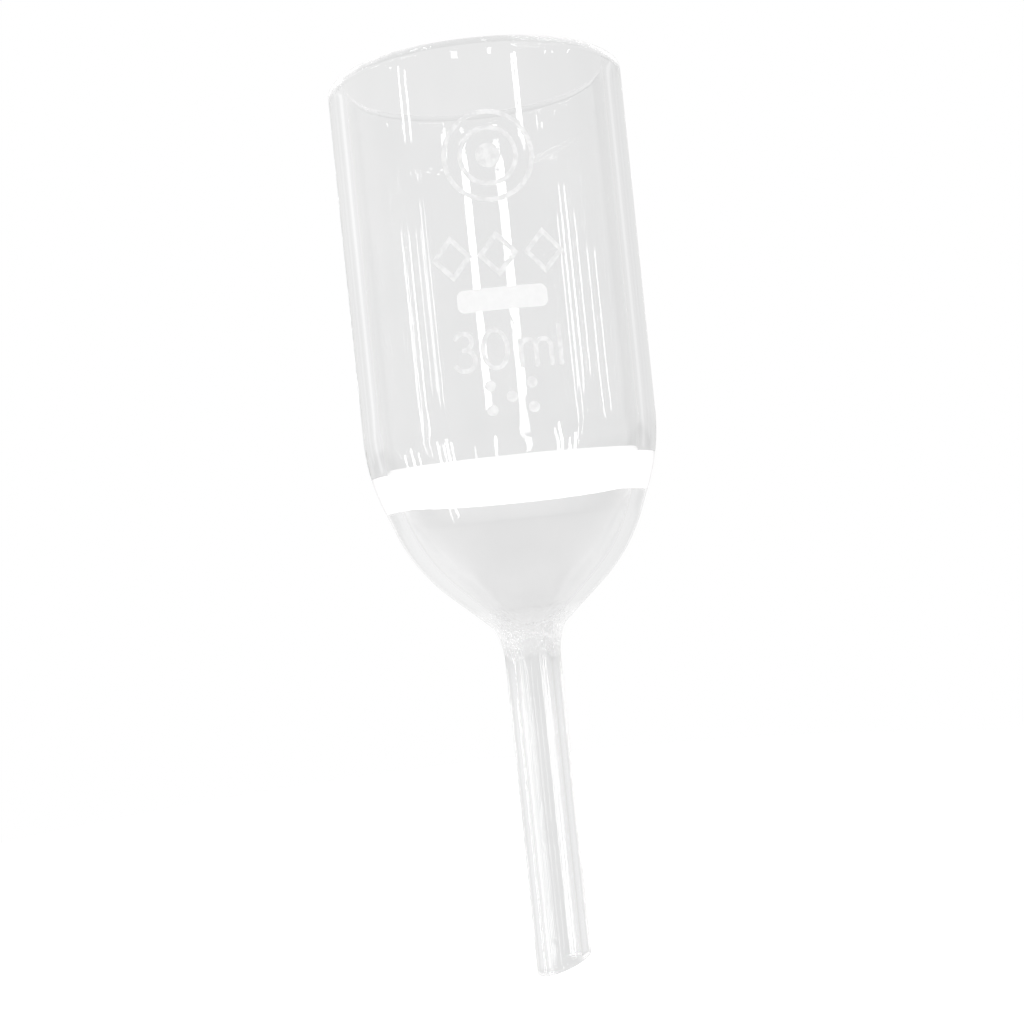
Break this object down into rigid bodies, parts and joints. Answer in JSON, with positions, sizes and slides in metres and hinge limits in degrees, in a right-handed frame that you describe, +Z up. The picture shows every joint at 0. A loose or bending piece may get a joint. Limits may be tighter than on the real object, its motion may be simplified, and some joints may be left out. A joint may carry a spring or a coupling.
{
  "type": "sintered glass filter funnel",
  "caption": "Glass filter funnel with a cylindrical bowl, a sintered disc fused across it, a rounded lower bowl and a plain stem with a bevelled tip.",
  "frame": {"origin": "on the funnel's axis, level with the lowest point of the bevelled stem tip", "axes": "+Z up the funnel's axis, out of the bowl's mouth; -Y is the front, where the prints are; -X is the side on which the tip is lowest"},
  "size_m": [0.034, 0.034, 0.1042],
  "materials": {
    "clear_glass": "clear, fire-polished borosilicate glass",
    "sintered_glass": "matt white, fine sintered grain",
    "white_enamel": "thin fired white print, slightly translucent",
    "patch_enamel": "matt fired white print that takes a pencil"
  },
  "bodies": {
    "root": {"bowl_tube": "clear_glass", "sintered_disc": "sintered_glass", "lower_bowl": "clear_glass", "stem_tube": "clear_glass", "emblem_rings": "white_enamel", "lozenge_row": "white_enamel", "writing_patch": "patch_enamel", "capacity_figures": "white_enamel", "grade_dots": "white_enamel"}
  },
  "joints": []
}
